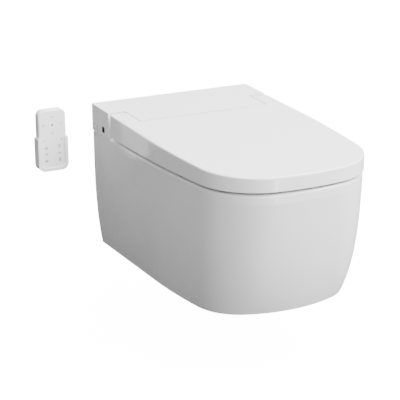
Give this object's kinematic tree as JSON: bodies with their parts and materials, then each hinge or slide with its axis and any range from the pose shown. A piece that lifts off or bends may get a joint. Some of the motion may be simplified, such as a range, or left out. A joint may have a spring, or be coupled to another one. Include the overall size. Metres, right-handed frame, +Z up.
{
  "type": "electric bidet seat on a wall-hung toilet",
  "caption": "Wall-hung ceramic toilet with a flush electric bidet seat unit, soft-close lid and seat, cleansing nozzle, dryer and a handset in its wall holder.",
  "frame": {"origin": "on the wall plane, midway between the two wall studs that carry the pan", "axes": "+Z up, the wall is the plane Y = 0, the bowl reaches towards -Y, +X to the right of someone facing the wall"},
  "size_m": [0.5155, 0.5999, 0.323],
  "materials": {
    "board": "circuit board with green resist",
    "brass": "turned brass",
    "dark_window": "dark tinted window",
    "glazed_ceramic": "glazed, glossy white",
    "grey_plastic": "moulded, grey",
    "handset_white": "moulded, satin white",
    "heater_film": "amber film with printed heating track",
    "lamp": "clear tinted lamp lens",
    "nozzle_white": "moulded white",
    "rubber": "soft grey rubber",
    "seat_white": "moulded, gloss white",
    "steel": "zinc plated",
    "tank": "black moulded tank",
    "white_gloss": "moulded, gloss white"
  },
  "bodies": {
    "root": {"base_plate": "steel", "control_board": "board", "cover_screws": "steel", "deodoriser_housing": "grey_plastic", "dryer_housing": "grey_plastic", "fixing_bolts": "steel", "hinge_brackets": "steel", "hinge_dampers": "grey_plastic", "hinge_pins": "steel", "inlet_valve": "grey_plastic", "night_light": "lamp", "nozzle_cradle": "grey_plastic", "nozzle_motor": "steel", "pan": "glazed_ceramic", "panel_fascia": "white_gloss", "panel_lights": "lamp", "power_board": "board", "power_gland": "grey_plastic", "rear_cover": "white_gloss", "remote_holder": "handset_white", "sensor_window": "dark_window", "stud_sleeves": "grey_plastic", "water_heater": "tank", "water_pipes": "brass", "water_pump": "grey_plastic"},
    "lid": {"lid": "white_gloss", "lid_buffers": "rubber"},
    "seat": {"seat_top": "seat_white", "seat_base": "seat_white", "seat_heater": "heater_film", "seat_buffers": "rubber"},
    "dryer_wheel": {"dryer_impeller": "grey_plastic"},
    "dryer_door": {"dryer_flap": "nozzle_white"},
    "deodoriser_wheel": {"deodoriser_rotor": "grey_plastic"},
    "filter": {"carbon_filter": "white_gloss"},
    "nozzle": {"nozzle_tube": "nozzle_white", "nozzle_tip": "nozzle_white"},
    "pinion": {"nozzle_pinion": "grey_plastic"},
    "remote": {"remote_front": "handset_white", "remote_back": "handset_white", "remote_board": "board", "batteries": "steel"},
    "hatch": {"battery_cover": "handset_white"},
    "key_up": {"remote_key_up": "handset_white"},
    "key_left": {"remote_key_left": "handset_white"},
    "key_stop": {"remote_key_stop": "handset_white"},
    "key_right": {"remote_key_right": "handset_white"},
    "key_down": {"remote_key_down": "handset_white"},
    "key_minus": {"remote_key_minus": "handset_white"},
    "key_plus": {"remote_key_plus": "handset_white"},
    "key_rear_wash": {"remote_key_rear_wash": "handset_white"},
    "key_front_wash": {"remote_key_front_wash": "handset_white"},
    "key_dryer": {"remote_key_dryer": "handset_white"},
    "key_sweep": {"remote_key_sweep": "handset_white"},
    "key_water_heat": {"remote_key_water_heat": "handset_white"},
    "key_seat_heat": {"remote_key_seat_heat": "handset_white"},
    "panel_power": {"panel_key_power": "white_gloss"},
    "panel_rear_wash": {"panel_key_rear_wash": "white_gloss"},
    "panel_light": {"panel_key_light": "white_gloss"},
    "panel_front_wash": {"panel_key_front_wash": "white_gloss"}
  },
  "joints": [
    {"name": "seat_hinge", "type": "hinge", "parent": "root", "child": "seat", "pos_m": [0, -0.125, 0.11], "axis": [-1, 0, 0], "range_deg": [0, 95]},
    {"name": "lid_hinge", "type": "hinge", "parent": "seat", "child": "lid", "pos_m": [0, -0.125, 0.11], "axis": [1, 0, 0], "range_deg": [-97, 0]},
    {"name": "nozzle_slide", "type": "slide", "parent": "root", "child": "nozzle", "axis": [0, -0.9703, -0.2419], "range_m": [0, 0.08]},
    {"name": "pinion_spin", "type": "hinge", "parent": "root", "child": "pinion", "pos_m": [0, -0.14504, 0.11391], "axis": [1, 0, 0], "range_deg": [-770, 0]},
    {"name": "dryer_door_hinge", "type": "hinge", "parent": "root", "child": "dryer_door", "pos_m": [-0.072, -0.1641, 0.1031], "axis": [-1, 0, 0], "range_deg": [0, 60]},
    {"name": "dryer_wheel_spin", "type": "hinge", "parent": "root", "child": "dryer_wheel", "pos_m": [-0.072, -0.05, 0.111], "axis": [1, 0, 0], "continuous": true},
    {"name": "deodoriser_wheel_spin", "type": "hinge", "parent": "root", "child": "deodoriser_wheel", "pos_m": [0.126, -0.04, 0.108], "axis": [1, 0, 0], "continuous": true},
    {"name": "filter_slide", "type": "slide", "parent": "root", "child": "filter", "axis": [1, 0, 0], "range_m": [0, 0.055]},
    {"name": "remote_lift", "type": "slide", "parent": "root", "child": "remote", "axis": [0, 0, 1], "range_m": [0, 0.09]},
    {"name": "hatch_slide", "type": "slide", "parent": "remote", "child": "hatch", "axis": [0, 0, -1], "range_m": [0, 0.008]},
    {"name": "press_up", "type": "slide", "parent": "remote", "child": "key_up", "axis": [0, 1, 0], "range_m": [0, 0.0006], "stiffness_N_per_m": 900},
    {"name": "press_left", "type": "slide", "parent": "remote", "child": "key_left", "axis": [0, 1, 0], "range_m": [0, 0.0006], "stiffness_N_per_m": 900},
    {"name": "press_stop", "type": "slide", "parent": "remote", "child": "key_stop", "axis": [0, 1, 0], "range_m": [0, 0.0006], "stiffness_N_per_m": 900},
    {"name": "press_right", "type": "slide", "parent": "remote", "child": "key_right", "axis": [0, 1, 0], "range_m": [0, 0.0006], "stiffness_N_per_m": 900},
    {"name": "press_down", "type": "slide", "parent": "remote", "child": "key_down", "axis": [0, 1, 0], "range_m": [0, 0.0006], "stiffness_N_per_m": 900},
    {"name": "press_minus", "type": "slide", "parent": "remote", "child": "key_minus", "axis": [0, 1, 0], "range_m": [0, 0.0006], "stiffness_N_per_m": 900},
    {"name": "press_plus", "type": "slide", "parent": "remote", "child": "key_plus", "axis": [0, 1, 0], "range_m": [0, 0.0006], "stiffness_N_per_m": 900},
    {"name": "press_rear_wash", "type": "slide", "parent": "remote", "child": "key_rear_wash", "axis": [0, 1, 0], "range_m": [0, 0.0006], "stiffness_N_per_m": 900},
    {"name": "press_front_wash", "type": "slide", "parent": "remote", "child": "key_front_wash", "axis": [0, 1, 0], "range_m": [0, 0.0006], "stiffness_N_per_m": 900},
    {"name": "press_dryer", "type": "slide", "parent": "remote", "child": "key_dryer", "axis": [0, 1, 0], "range_m": [0, 0.0006], "stiffness_N_per_m": 900},
    {"name": "press_sweep", "type": "slide", "parent": "remote", "child": "key_sweep", "axis": [0, 1, 0], "range_m": [0, 0.0006], "stiffness_N_per_m": 900},
    {"name": "press_water_heat", "type": "slide", "parent": "remote", "child": "key_water_heat", "axis": [0, 1, 0], "range_m": [0, 0.0006], "stiffness_N_per_m": 900},
    {"name": "press_seat_heat", "type": "slide", "parent": "remote", "child": "key_seat_heat", "axis": [0, 1, 0], "range_m": [0, 0.0006], "stiffness_N_per_m": 900},
    {"name": "press_panel_power", "type": "slide", "parent": "root", "child": "panel_power", "axis": [1, 0, 0], "range_m": [0, 0.0006], "stiffness_N_per_m": 900},
    {"name": "press_panel_rear_wash", "type": "slide", "parent": "root", "child": "panel_rear_wash", "axis": [1, 0, 0], "range_m": [0, 0.0006], "stiffness_N_per_m": 900},
    {"name": "press_panel_light", "type": "slide", "parent": "root", "child": "panel_light", "axis": [1, 0, 0], "range_m": [0, 0.0006], "stiffness_N_per_m": 900},
    {"name": "press_panel_front_wash", "type": "slide", "parent": "root", "child": "panel_front_wash", "axis": [1, 0, 0], "range_m": [0, 0.0006], "stiffness_N_per_m": 900}
  ],
  "couplings": [
    {"joint": "pinion_spin", "follows": "nozzle_slide", "rad_per_m": -166.67}
  ]
}
